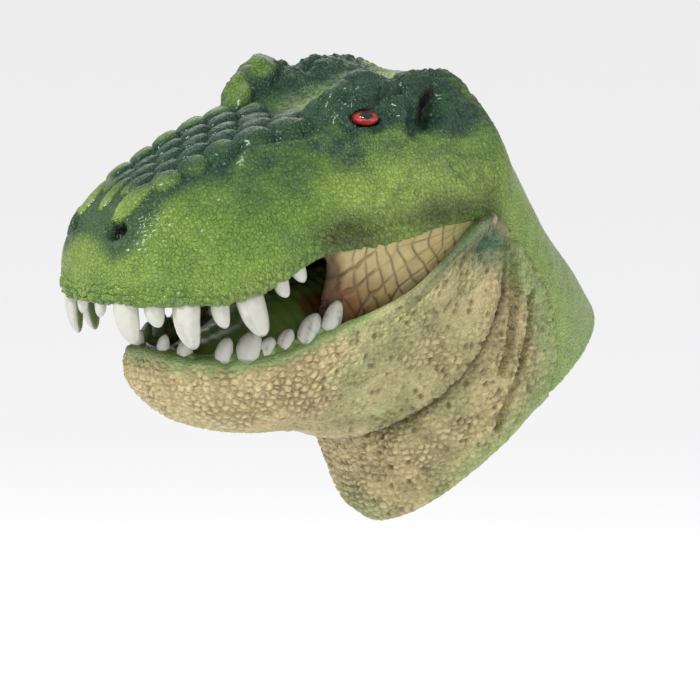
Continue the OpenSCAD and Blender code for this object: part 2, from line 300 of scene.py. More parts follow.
def skin_grid(ribs, rows, cols):
    """Evenly spaced places over a skin: (t, turn, points)."""
    t = np.linspace(0, RIM, 800)
    track = skin_points(ribs, t, np.full(t.shape, 50.0))
    run = np.concatenate([[0], np.cumsum(np.linalg.norm(np.diff(track, axis=0), axis=1))])
    t = np.interp(np.linspace(0, run[-1], rows + 1), run, t)
    t, turn = np.meshgrid(t, np.linspace(-90, 90, cols + 1), indexing="ij")
    return t, turn, skin_points(ribs, t, turn)


def normals(p, outward):
    """Unit normals of a grid of points, on the side that outward picks."""
    across, along = np.gradient(p, axis=1), np.gradient(p, axis=0)
    n = outward * np.cross(across, along)
    return n / (np.linalg.norm(n, axis=-1, keepdims=True) + 1e-12)


def inner_side(p, base, outward):
    """The skin's inner side: one wall under the bare skin, and deeper round a deep pit or crease."""
    n = normals(base, outward)
    depth = ((p - base) * n).sum(-1)
    sunk = np.maximum(0, LEAST_WALL - SKIN_WALL - depth)
    for _ in range(COARSE + 1):
        around = np.pad(sunk, 1, mode="edge")
        sides = [around[:-2, 1:-1], around[2:, 1:-1], around[1:-1, :-2], around[1:-1, 2:]]
        sunk = np.max([sunk, *sides], axis=0)
    return base - n * (SKIN_WALL + sunk)[..., None]


def lip(ribs, a):
    """The lip's edge, from the right side (negative) round the front to the left, counted in ribs."""
    r = ribs_at(ribs, np.abs(a))
    return np.stack([np.sign(a) * r[..., 0], r[..., 1], r[..., 2]], axis=-1)


def to_row(p):
    """From the layout's millimetres to the row frame's metres."""
    low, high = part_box("jaw_skin")
    wide = (high.x - low.x) / MM / 2 / ribs_at(LOWER_RIBS, np.linspace(0, 9, 91))[:, 0].max()
    return HINGE + (p - np.array([0, HINGE_S, HINGE_H])) * np.array([wide, 1, 1]) * MM


# Meshes ----------------------------------------------------------------------

def make_piece(name, points, faces, paint, material, slot):
    """A piece from layout points, with its paint and its rest places kept on the points."""
    mesh = bpy.data.meshes.new(name)
    mesh.from_pydata(to_row(points).tolist(), [], faces)
    solid = bmesh.new()
    solid.from_mesh(mesh)
    bmesh.ops.recalc_face_normals(solid, faces=solid.faces)
    solid.to_mesh(mesh)
    solid.free()
    mesh.polygons.foreach_set("use_smooth", np.ones(len(mesh.polygons), bool))
    colour = np.ones((len(points), 4), np.float32)
    colour[:, :3] = paint
    mesh.attributes.new("paint", "FLOAT_COLOR", "POINT").data.foreach_set("color", colour.ravel())
    rest = mesh.attributes.new("rest", "FLOAT_VECTOR", "POINT")
    rest.data.foreach_set("vector", (np.asarray(points) * MM).astype(np.float32).ravel())
    mesh.materials.append(material)
    piece = bpy.data.objects.new(name, mesh)
    bpy.context.scene.collection.objects.link(piece)
    return piece


def border(rows, cols, skip=1):
    """Row and column numbers round the edge of a grid, taking every skip-th place."""
    i = np.concatenate([np.zeros(cols // skip, int), np.arange(0, rows, skip),
                        np.full(cols // skip, rows), np.arange(rows, 0, -skip)])
    j = np.concatenate([np.arange(0, cols, skip), np.full(rows // skip, cols),
                        np.arange(cols, 0, -skip), np.zeros(rows // skip, int)])
    return i, j


def outward_runs(p, i, j):
    """Unit directions that lead off the grid at its edge places."""
    rows, cols = p.shape[0] - 1, p.shape[1] - 1
    run = np.zeros((len(i), 3))
    for edge, di, dj in ((i == 0, 1, 0), (i == rows, -1, 0), (j == 0, 0, 1), (j == cols, 0, -1)):
        away = p[i, j] - p[np.clip(i + di, 0, rows), np.clip(j + dj, 0, cols)]
        away /= np.linalg.norm(away, axis=1, keepdims=True) + 1e-12
        run += away * edge[:, None]
    return run / (np.linalg.norm(run, axis=1, keepdims=True) + 1e-12)


def shell(outer, inner, paint, inside, rounding=0.9):
    """A closed sheet with rounded edges: (points, faces, paint). The inner side is a coarser grid."""
    rows, cols = outer.shape[0] - 1, outer.shape[1] - 1
    at = np.arange((rows + 1) * (cols + 1)).reshape(rows + 1, cols + 1)
    faces = np.stack([at[:-1, :-1], at[:-1, 1:], at[1:, 1:], at[1:, :-1]], axis=-1).reshape(-1, 4).tolist()
    points, colours = [outer.reshape(-1, 3)], [paint.reshape(-1, 3)]
    count = at.size
    i, j = border(rows, cols)
    top, under = outer[i, j], inner[i, j]
    half = (top - under) / 2
    away = outward_runs(outer, i, j) * np.linalg.norm(half, axis=1, keepdims=True) * rounding
    ring = at[i, j]
    size = len(i)
    for angle in (40, 80, 120, 155):
        c, s = math.cos(math.radians(angle)), math.sin(math.radians(angle))
        points.append((top + under) / 2 + half * c + away * s)
        colours.append(mix(paint[i, j], inside, np.full(size, step(60, 150, angle))))
        new = np.arange(count, count + size)
        count += size
        faces += np.stack([ring, np.roll(ring, -1), np.roll(new, -1), new], axis=-1).tolist()
        ring = new
    back = inner[::COARSE, ::COARSE]
    back_at = np.arange(count, count + back.shape[0] * back.shape[1]).reshape(back.shape[:2])
    faces += np.stack([back_at[:-1, :-1], back_at[:-1, 1:], back_at[1:, 1:], back_at[1:, :-1]],
                      axis=-1).reshape(-1, 4).tolist()
    points.append(back.reshape(-1, 3))
    colours.append(np.broadcast_to(np.asarray(inside), (back_at.size, 3)))
    bi, bj = border(back.shape[0] - 1, back.shape[1] - 1)
    hem = back_at[bi, bj]
    for k in range(len(hem)):
        a, b = int(hem[k]), int(hem[(k + 1) % len(hem)])
        f = [int(ring[(COARSE * k + m) % size]) for m in range(COARSE + 1)]
        faces += [[f[0], f[1], a], [f[1], f[2], a], [f[2], b, a], [f[2], f[3], b], [f[3], f[4], b]]
    return np.concatenate(points), faces, np.concatenate(colours)


def loft(rings):
    """A closed solid through rings of points, with a cap at each end: (points, faces)."""
    rings = np.asarray(rings)
    count, size = rings.shape[:2]
    at = np.arange(count * size).reshape(count, size)
    faces = np.stack([at[:-1], np.roll(at[:-1], -1, axis=1), np.roll(at[1:], -1, axis=1), at[1:]],
                     axis=-1).reshape(-1, 4).tolist()
    ends = rings[[0, -1]].mean(axis=1)
    for end, row in ((0, at[0]), (1, at[-1])):
        faces += [[int(row[k]), int(row[(k + 1) % size]), count * size + end] for k in range(size)]
    return np.concatenate([rings.reshape(-1, 3), ends]), faces


# Materials -------------------------------------------------------------------

def rubber(name, roughness, variation, grain, bump, coat=0.0, specks=0.0, pebble=0.0):
    """Painted rubber: the piece's own paint, broken up by fine mottling, with a grained surface.
    variation is how strongly the paint mottles, grain and pebble the sizes of the surface's grain and
    of its small scales in metres."""
    material = bpy.data.materials.new(name)
    material.use_nodes = True
    nodes, links = material.node_tree.nodes, material.node_tree.links
    shader = nodes["Principled BSDF"]
    shader.inputs["Coat Weight"].default_value = coat
    shader.inputs["Coat Roughness"].default_value = 0.18
    rest = nodes.new("ShaderNodeAttribute")
    rest.attribute_name = "rest"
    paint = nodes.new("ShaderNodeAttribute")
    paint.attribute_name = "paint"

    def texture(kind, size, **values):
        made = nodes.new(kind)
        links.new(rest.outputs["Vector"], made.inputs["Vector"])
        made.inputs["Scale"].default_value = 1 / size
        for key, value in values.items():
            made.inputs[key].default_value = value
        return made

    def ranged(source, low, high, to_low, to_high):
        made = nodes.new("ShaderNodeMapRange")
        links.new(source, made.inputs["Value"])
        for key, value in zip(("From Min", "From Max", "To Min", "To Max"), (low, high, to_low, to_high)):
            made.inputs[key].default_value = value
        return made.outputs["Result"]

    mottle = texture("ShaderNodeTexNoise", 0.0035, Detail=4.0, Roughness=0.6)
    tint = nodes.new("ShaderNodeHueSaturation")
    links.new(paint.outputs["Color"], tint.inputs["Color"])
    links.new(ranged(mottle.outputs["Fac"], 0.3, 0.7, 1 - variation, 1 + variation), tint.inputs["Value"])
    colour = tint.outputs["Color"]
    if specks:
        spot = texture("ShaderNodeTexVoronoi", 0.0042, Randomness=1.0)
        wanted = texture("ShaderNodeTexNoise", 0.012)
        near = ranged(spot.outputs["Distance"], 0.05, 0.075, 1.0, 0.0)
        rare = ranged(wanted.outputs["Fac"], 0.62 - specks, 0.66 - specks, 0.0, 1.0)
        both = nodes.new("ShaderNodeMath")
        both.operation = "MULTIPLY"
        links.new(near, both.inputs[0])
        links.new(rare, both.inputs[1])
        speckled = nodes.new("ShaderNodeMix")
        speckled.data_type = "RGBA"
        speckled.inputs["B"].default_value = (*BLACK, 1)
        links.new(both.outputs["Value"], speckled.inputs["Factor"])
        links.new(colour, speckled.inputs["A"])
        colour = speckled.outputs["Result"]
    links.new(colour, shader.inputs["Base Color"])
    patches = texture("ShaderNodeTexNoise", 0.006, Detail=3.0)
    links.new(ranged(patches.outputs["Fac"], 0.3, 0.7, roughness - 0.09, roughness + 0.09),
              shader.inputs["Roughness"])
    pores = texture("ShaderNodeTexNoise", grain, Detail=5.0, Roughness=0.65)
    height = pores.outputs["Fac"]
    if pebble:
        scales = texture("ShaderNodeTexVoronoi", pebble, Randomness=0.9)
        scales.feature = "DISTANCE_TO_EDGE"
        both = nodes.new("ShaderNodeMath")
        both.operation = "ADD"
        links.new(ranged(scales.outputs["Distance"], 0.0, 0.16, 0.0, 0.55), both.inputs[0])
        links.new(height, both.inputs[1])
        height = both.outputs["Value"]
    raised = nodes.new("ShaderNodeBump")
    raised.inputs["Strength"].default_value = bump
    raised.inputs["Distance"].default_value = 0.0008 if pebble else 0.0004
    links.new(height, raised.inputs["Height"])
    links.new(raised.outputs["Normal"], shader.inputs["Normal"])
    return material


# Upper skin ------------------------------------------------------------------

BROW_LINE = np.array([  # s, and how far the brow's and temple's ridge stands above the bare skin there
    [54, 0.0], [58, 2.6], [61, 7.2], [65, 11.0], [70, 12.0], [76, 10.6], [81, 7.8], [85, 8.8],
    [91, 7.4], [97, 6.0], [101, 4.2], [105, 2.0], [109, 0.6], [113, 0.0]])
BROW_ACROSS = np.array([  # across, and the share of that rise
    [7, 0.0], [12, 0.22], [16, 0.72], [20, 1.0], [23.5, 1.0], [26, 0.80], [29, 0.55],
    [32, 0.40], [35, 0.22], [38, 0.07], [40, 0.0]])


def smooth_table(table, x):
    """Values between a table's rows, with level ends."""
    i = np.clip(np.searchsorted(table[:, 0], x) - 1, 0, len(table) - 2)
    f = np.clip((x - table[i, 0]) / (table[i + 1, 0] - table[i, 0]), 0, 1)
    f = f * f * (3 - 2 * f) * 0.45 + f * 0.55
    return table[i, 1] * (1 - f) + table[i + 1, 1] * f


def scute_domes(p):
    """How high the crest's scales stand at each place, and how near their tops it is, from 0 to 1."""
    x = np.abs(p[..., 0])
    rise, top = np.zeros(x.shape), np.zeros(x.shape)
    for number, (across, s, half_width, half_length, tall) in enumerate(SCUTES):
        skew = 0.25 * (x - across) * (1 if across else 0)
        u = np.abs(x - across) / (0.95 * half_width)
        v = (p[..., 1] - s - skew) / (0.92 * half_length)
        dome = np.clip(1 - u ** 2.6 - np.abs(v) ** (2.2 if number % 2 else 2.6), 0, 1)
        dome = dome ** 0.36 * (0.84 + 0.16 * v)
        rise = np.maximum(rise, tall * dome)
        top = np.maximum(top, dome)
    return rise, top


def brow_hollow(m):
    """How deep in the leaning hollow behind the eye each place is, from 0 to 1."""
    s0 = 87.0 + 0.75 * (m[..., 2] - 46.0)
    u, v = (m[..., 1] - s0) / 3.2, (m[..., 2] - 46.0) / 5.2
    return np.exp(-u ** 2 - v ** 2) * step(19, 25, m[..., 0])


def over_crest(m):
    """How far each place is above the lower edge of the crest's dark paint, in millimetres."""
    return m[..., 2] - np.interp(m[..., 1], [0, 8, 20, 40], [13, 20, 26, 34])


def upper_shape(t, turn, p):
    """The upper skin's points in layers: brow and cheeks, then scales, lids and pits, then pebbles."""
    x, s = np.abs(p[..., 0]), p[..., 1]
    side = np.sign(p[..., 0])
    ridge = smooth_table(BROW_LINE, s) * smooth_table(BROW_ACROSS, x)
    p = p + np.stack([side * 0.24 * ridge, 0 * ridge, 0.97 * ridge], axis=-1)
    n, m = normals(p, 1), mirrored(p)
    form = (mound(m, [39.5, 76, 26], [8, 12, 6], 2.6) + mound(m, [37, 62, 26], [7, 7, 5], 1.4)
            + mound(m, [40.5, 92, 25], [7, 7, 6], 1.8) + mound(m, [40, 70, 21], [8, 8, 3.6], 1.4)
            - mound(m, [40, 86, 19], [6, 11, 3.0], 2.2)
            - mound(m, [31, 46, 24], [8, 15, 5.0], 2.0) - mound(m, [34, 60, 34], [7, 8, 3.4], 1.8)
            + mound(m, [33, 30, 5], [7, 13, 5], 1.2) - mound(m, [38.5, 58, 18], [6, 7, 2.8], 1.9)
            - mound(m, [37, 76, 37], [7, 8, 3.6], 1.4) - mound(m, [24, 18, 14], [8, 9, 6], 0.8))
    form += 2.3 * bell(line_distance(m, [[18, 38, 35], [23, 52, 38.5], [27, 62, 39.5]]) / 2.6)
    form += 1.7 * bell(line_distance(m, [[32, 72, 42], [35, 80, 36], [37, 87, 33], [38.5, 93, 30]]) / 2.0)
    form += 1.5 * bell(line_distance(m, [[36, 76, 33], [38, 71, 29], [38.5, 66, 25]]) / 2.0)
    form += 1.0 * bell(line_distance(m, [[39, 84, 31], [40, 88, 26], [40, 94, 23]]) / 1.7)
    form -= 1.6 * bell(line_distance(m, [[24, 80.8, 53], [30, 81.0, 47], [32, 79, 43]]) / 1.2)
    form -= 0.9 * bell(line_distance(m, [[5.8, 3, 17], [7.0, 8, 22], [7.4, 13, 26]]) / 0.9)
    p = p + n * form[..., None]
    n, m = normals(p, 1), mirrored(p)
    rise, top = scute_domes(p)
    near_eye = np.sqrt((((m - EYE_AT) / [1.6, 1.15, 0.70]) ** 2).sum(-1))
    detail = rise * step(-2, 4, s)
    detail -= mound(m, EYE_AT + [0.5, 0.0, 0.0], [6, 5.0, 2.8], 2.2)
    detail += 2.0 * bell((near_eye - 3.6) / 0.8) * (0.45 + 0.55 * step(-3.0, 2.5, EYE_AT[2] - m[..., 2]))
    lid = line_distance(m, [[30, 60.5, 46.8], [32, 66, 48.6], [32.5, 72, 47.6], [33, 76, 44]])
    detail += 3.2 * bell(lid / 1.5)
    detail += mound(m, [33, 77.6, 47.0], [12, 4.4, 4.6], 2.4) - 6.2 * brow_hollow(m)
    detail += 1.4 * bell(line_distance(m, [[30, 92.5, 52], [34, 92, 46], [35, 89, 40]]) / 1.8)
    slant = np.array([[0.8, 0.3, 0], [0, 0.5, 0.45], [-0.42, 0.2, 0.75]])
    hole = np.sqrt((((m - NOSTRIL_AT) @ slant.T) ** 2).sum(-1))
    detail += -3.6 * step(2.9, 1.3, hole) + 0.7 * bell((hole - 3.5) / 0.9)
    knobbly = step(41, 45, m[..., 2]) * step(55, 60, s) * step(108, 100, s) * step(13, 18, x)
    detail += knobbly * (2.4 * (layered(m, 3.0, 15) - 0.5) - 0.9 * bell((noise(m, 4.6, 16) - 0.5) / 0.05))
    edge = ribs_at(UPPER_RIBS, t)[..., 2]
    above = p[..., 2] - edge
    at_edge = step(80, 88, np.abs(turn) + 10 * step(3, 1.2, t))
    on_lip = step(UPPER_LIP_END + 0.3, UPPER_LIP_END - 0.6, t) * at_edge
    detail += 0.5 * bell((above - 2.6) / 1.8) * on_lip
    p = p + n * detail[..., None]
    m = mirrored(p)
    p = p + mound(m, [12, 146, 6], [26, 16, 20], 1.3)[..., None] * np.array([0, 0.8, 0.6])
    arch = sum(mound(m, root[:3], [3.2, root[3] * 0.52, 1.6], 1.0) for root in UPPER_TEETH)
    p = p + np.stack([0 * arch, 0 * arch, arch], axis=-1)
    n = normals(p, 1)
    near, next_near, own = cells(m, 1.6, 3)
    wide_near, wide_next, _ = cells(m + 40, 2.0, 21)
    groove = 1 - step(0.02, 0.34, next_near - near)
    wide_groove = 1 - step(0.02, 0.30, wide_next - wide_near)
    low_band = step(9, 3, above) * step(12.5, 11, t)
    calm = 1 - 0.75 * step(11.5, 13, t) - 0.6 * step(0.15, 0.6, top) - 0.55 * step(14, 4, s) * (1 - low_band)
    rough_zone = calm * (0.55 + 0.6 * layered(m, 11, 5))
    pebble = (-0.40 * groove + 0.18 * own) * rough_zone * (1 - low_band)
    pebble = pebble - 0.55 * wide_groove * low_band * calm
    # The gaps between the crest's scales: sunk a little, and painted dark green there as painted shade.
    crease = np.where(top > 0, 0, step(0, 2, s)) * step(19, 14, x) * step(66, 60, s)
    crease = crease * step(-6, -2, over_crest(m))
    p = p + n * (pebble + 0.5 * (layered(m, 6, 9) - 0.5) - 0.35 * crease * noise(m, 1.6, 14))[..., None]
    # The marks handed to the paint; the grooves, the crease, the nostril's hole and the eye's ring get
    # painted shade from them.
    marks = dict(top=top, crease=crease, groove=np.maximum(groove * (1 - low_band), wide_groove * low_band),
                 hole=hole, eye=near_eye)
    return p, marks


def upper_paint(t, turn, p, marks):
    m = mirrored(p)
    x, s, h = np.moveaxis(m, -1, 0)
    patch, fleck = layered(m, 14, 31), layered(m, 3.2, 37)
    paint = mix(GREEN, YELLOW_GREEN, 0.30 + 2.6 * (patch - 0.47))
    yellow = (mound(m, [9, 2, 12], [9, 8, 9], 0.5) + mound(m, [38, 76, 24], [9, 14, 7], 0.75)
              + mound(m, [33, 30, 8], [9, 14, 6], 0.45))
    paint = mix(paint, YELLOW_GREEN, yellow)
    pale = 0.60 * step(11.4, 13.0, t) + mound(m, [37, 80, 32], [12, 18, 9], 0.65)
    paint = mix(paint, LIME, pale * (0.75 + 0.5 * fleck))
    half = np.interp(s, [4, 12, 24, 40, 56, 64], [3, 9.5, 14.5, 18, 23, 29])
    on_top = step(-7, -2, over_crest(m) + 4 * (fleck - 0.5))
    spray = step(4, -3.5, x - half + 5 * (fleck - 0.5)) * step(5, 14, s) * step(66, 60, s) * on_top
    brow_edge = 42.0 - 4.0 * bell((s - 88) / 9) + 9 * (patch - 0.5) + 7 * (fleck - 0.5)
    brow = (step(-2.2, 2.2, h - brow_edge) * step(56, 62, s)
            * step(108, 98, s + 10 * (fleck - 0.5) + 22 * (patch - 0.5)))
    spray = np.maximum(spray, brow * step(3, 14, x + 14 * (patch - 0.5)))
    drift = 0.80 * step(16, 0, x - half + 9 * (patch - 0.5)) * step(16, 34, s) * step(70, 62, s)
    drift = drift * step(-14, -6, over_crest(m))
    cheek_drift = (0.60 * mound(m, [30, 60, 38], [9, 12, 5], 1.0)
                   + 0.45 * mound(m, [36, 78, 37], [6, 10, 4.0], 1.0)
                   + 0.45 * mound(m, [38, 88, 33], [6, 8, 6], 1.0))
    dark = np.maximum(spray, np.maximum(drift, cheek_drift) * (0.4 + 1.2 * fleck))
    # Painted light on the crest: patches of the scales' tops are kept clear of the dark spray as painted
    # highlight, and the far side's scale tops as painted backlight.
    patchiness = 0.9 - 0.9 * step(0.42, 0.60, noise(m, 4.5, 43))
    lit_scute_top = step(0.78, 0.95, marks["top"]) * patchiness * step(7, 9, x)
    backlit_far_tops = 0.75 * step(-7.5, -10, p[..., 0]) * step(0.5, 0.8, marks["top"]) * step(75, 66, s)
    dark = dark * (1 - np.clip(np.maximum(lit_scute_top, backlit_far_tops), 0, 1))
    paint = mix(paint, DARK_GREEN, dark * (0.80 + 0.25 * fleck))
    # Painted shade in olive, in the hollows under the cheek's bulge, above the lip and at the mouth's corner.
    hollow_shade = (mound(m, [40, 84, 20.5], [8, 14, 4.6], 1.0) + mound(m, [38, 56, 16], [8, 10, 4.4], 1.3)
             + mound(m, [40, 99, 20], [8, 5, 6], 0.35))
    paint = mix(paint, OLIVE, hollow_shade * (0.7 + 0.6 * fleck))
    # Painted shade: the paint darkened in the grooves between the pebbles, less on the neck.
    paint = mix(paint, paint * 0.42, marks["groove"] * 0.34 * (1 - 0.6 * step(11.8, 13, t)))
    # Painted shade in the gaps between the crest's scales.
    paint = mix(paint, DARK_GREEN, marks["crease"] * 0.8)
    # Painted shadow in the nostril: dark green round its pit, black in its depth.
    paint = mix(paint, DARK_GREEN, step(2.9, 1.8, marks["hole"]) * 0.75)
    paint = mix(paint, BLACK, step(2.2, 1.2, marks["hole"]) * 0.85)
    # Painted shadow: the hollow behind the eye painted black.
    paint = mix(paint, BLACK, 0.95 * step(0.28, 0.75, brow_hollow(m)))
    # A dark ring round the eye: the lid's dark rim, with painted shadow in the socket.
    paint = mix(paint, DARK_GREEN, step(6.0, 4.2, marks["eye"]) * 0.8)
    paint = mix(paint, BLACK, step(4.0, 3.2, marks["eye"]) * 0.75)
    seam = 0.55 * step(3.2, 0.8, 90 - np.abs(turn) + 5 * (fleck - 0.5))
    return mix(paint, TAN, seam * step(12.2, 13.4, t))


def upper_skin(material):
    t, turn, base = skin_grid(UPPER_RIBS, 348 if fine else 200, 248 if fine else 148)
    p, marks = upper_shape(t, turn, base)
    tuck = step(11.6, 12.6, t) * step(4.5, 0, 90 - np.abs(turn))
    p = p - normals(base, 1) * (0.9 * tuck)[..., None]
    inner = inner_side(p, base, 1)
    paint = upper_paint(t, turn, p, marks)
    piece = make_piece("upper_skin", *shell(p, inner, paint, YELLOW_GREEN), material, "green_rubber")
    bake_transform(piece)
    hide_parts("head_skin", "nape_fold", "nape_sleeve")


# Lower skin ------------------------------------------------------------------

# Folds of the neck as two ends on the skin: [rib, turn] at the top, then at the bottom
THROAT_FOLDS = [[[13.5, 88], [14.9, 70]], [[14.3, 86], [16.2, 66]]]


def crease_rib(turn):
    """Where the jaw ends and the throat begins, in ribs: furthest back two thirds of the way up the side."""
    return 12.5 + 1.5 * np.sin(np.pi * (turn / 97) ** 1.55)


def jaw_crease():
    turn = np.linspace(0, 89, 24)
    return skin_points(LOWER_RIBS, crease_rib(turn), turn)


def throat_fold(number):
    t, turn = np.linspace(*THROAT_FOLDS[number], 8).T
    return skin_points(LOWER_RIBS, t, turn)


def lower_shape(t, turn, p):
    """The lower skin's points in layers: jowl and folds, then pebbles and pits."""
    n, m = normals(p, -1), mirrored(p)
    d = line_distance(m, jaw_crease())
    jaw_side = t < crease_rib(np.abs(turn))
    form = np.where(jaw_side, 2.1 * d / 4.5 * np.exp(1 - d / 4.5), 0)
    form -= np.where(jaw_side, 2.0 * bell(d / 0.9), 2.0 * bell(d / 3.4) * (0.7 + 0.3 * bell(d / 1.2)))
    for number in range(len(THROAT_FOLDS)):
        wobble = m + 1.2 * np.stack([0 * d, layered(m, 7, 51 + number) - 0.5, 0 * d], axis=-1)
        e = line_distance(wobble, throat_fold(number))
        form += 1.1 * bell((e - 2.6) / 1.6) - 1.9 * bell(e / 0.85)
    form += mound(m, [38, 84, -4], [9, 12, 10], 1.2) + mound(m, [27, 92, -40], [12, 10, 8], 1.0)
    form -= mound(m, [33, 66, -16], [6, 8, 5], 0.8) + mound(m, [22, 40, -31], [7, 8, 5], 0.6)
    form += mound(m, [14, 24, -23], [8, 6, 5], 0.7)
    edge = ribs_at(LOWER_RIBS, t)[..., 2]
    below = edge - p[..., 2]
    at_lip = step(12.4, 11.6, t)
    roll = 0.5 * bell((below - 2.2) / 1.7) * at_lip * step(5.5, 7.5, t)
    roll -= 0.7 * bell((below - 5.6) / 1.8) * at_lip * step(7.0, 8.4, t)
    uneven = 0.9 * (layered(m, 4, 81) - 0.5) * step(6, 1, below) * at_lip
    p = p + n * (form + roll + uneven)[..., None]
    arch = sum(mound(mirrored(p), root[:3] + [0.8, 0, 0], [3.4, root[3] * 0.5, 1.8], 1.4)
               for root in LOWER_TEETH)
    p = p - np.stack([0 * arch, 0 * arch, arch], axis=-1)
    n, m = normals(p, -1), mirrored(p)
    near, next_near, own = cells(m, 1.9, 61)
    fine_near, fine_next, fine_own = cells(m + 30, 1.35, 67)
    groove = 1 - step(0.02, 0.36, next_near - near)
    small_groove = 1 - step(0.02, 0.36, fine_next - fine_near)
    pit_near, _, pit_own = cells((m - 20) * [1, 1, 0.7], 2.0, 71)
    coarse = np.clip(step(0.42, 0.56, layered(m, 16, 73)) + step(12.8, 13.6, t), 0, 1)
    pit = step(0.46, 0.16, pit_near) * step(0.35, 0.55, pit_own) * (0.35 + 0.65 * step(5, 7.5, t))
    smooth_band = (step(0.5, 2.4, below) * at_lip + 1 - at_lip) * step(RIM, RIM - 0.25, t)
    pebble = -(0.66 * groove * coarse + 0.40 * small_groove * (1 - coarse)) + 0.26 * own * coarse
    p = p + n * ((pebble - 0.6 * pit) * smooth_band + 0.6 * (layered(m, 8, 79) - 0.5))[..., None]
    marks = dict(groove=groove * coarse + small_groove * (1 - coarse), pit=pit, crease=d, below=below,
                 at_lip=at_lip, own=own * coarse + fine_own * (1 - coarse))
    return p, marks


def lower_paint(t, turn, p, marks):
    m = mirrored(p)
    patch, fleck = layered(m, 17, 83), layered(m, 3.0, 89)
    paint = mix(TAN, TAN_PINK, 1.6 * (patch - 0.55))
    paint = mix(paint, FRINGE, 0.9 * step(0.55, 0.3, layered(m, 22, 97)) * 0.45)
    paint = paint * (0.93 + 0.14 * marks["own"])[..., None]
    paint = mix(paint, TAN_PIT, marks["groove"] * (0.16 + 0.50 * step(0.45, 0.65, layered(m, 9, 101))))
    paint = mix(paint, TAN_PIT, marks["pit"] * 0.7)
    paint = mix(paint, OLIVE, 0.35 * step(0.50, 0.72, layered(m, 12, 103)) * step(6, 9, t))
    # Painted shadow along the crease where the jaw overhangs the throat.
    paint = mix(paint, TAN_PIT, 0.8 * bell(marks["crease"] / 1.3) + 0.25 * bell(marks["crease"] / 4))
    # Painted shade in the neck's folds.
    for number in range(len(THROAT_FOLDS)):
        paint = mix(paint, TAN_PIT, 0.85 * bell(line_distance(m, throat_fold(number)) / 1.2))
    neck_edge = step(11, 1.5, 90 - np.abs(turn) + 6 * (fleck - 0.5)) * step(12.3, 13.4, t)
    rim_edge = step(15.6, 17, t + 0.7 * (patch - 0.5)) * step(25, 60, np.abs(turn))
    paint = mix(paint, FRINGE, np.maximum(0.75 * neck_edge, 0.7 * rim_edge))
    gum_edge = step(5.4, 0.4, marks["below"] + 5 * (fleck - 0.5)) * step(7.4, 6.6, t)
    paint = mix(paint, FRINGE, 0.85 * gum_edge)
    paint = mix(paint, GUM, 0.6 * step(1.4, 0.2, marks["below"]) * step(7.4, 6.6, t))
    teal = step(6.4, 1.4, marks["below"] + 3.2 * (fleck - 0.5)) * step(7.6, 9.0, t) * marks["at_lip"]
    corner = mound(m, [40, 97, 11], [8, 7, 6], 1.5)
    return mix(paint, TEAL, np.maximum(0.8 * teal, corner * (0.4 + 0.8 * fleck)))


def lower_skin(material):
    t, turn, base = skin_grid(LOWER_RIBS, 300 if fine else 172, 280 if fine else 160)
    p, marks = lower_shape(t, turn, base)
    proud = step(11.8, 12.8, t) * step(7, 1, 90 - np.abs(turn))
    p = p + normals(base, -1) * (0.5 * proud)[..., None]
    inner = inner_side(p, base, -1)
    paint = lower_paint(t, turn, p, marks)
    piece = make_piece("lower_skin", *shell(p, inner, paint, FRINGE), material, "tan_rubber")
    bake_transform(piece)
    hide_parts("jaw_skin", "throat_fold", "throat_sleeve")


# Mouth -----------------------------------------------------------------------

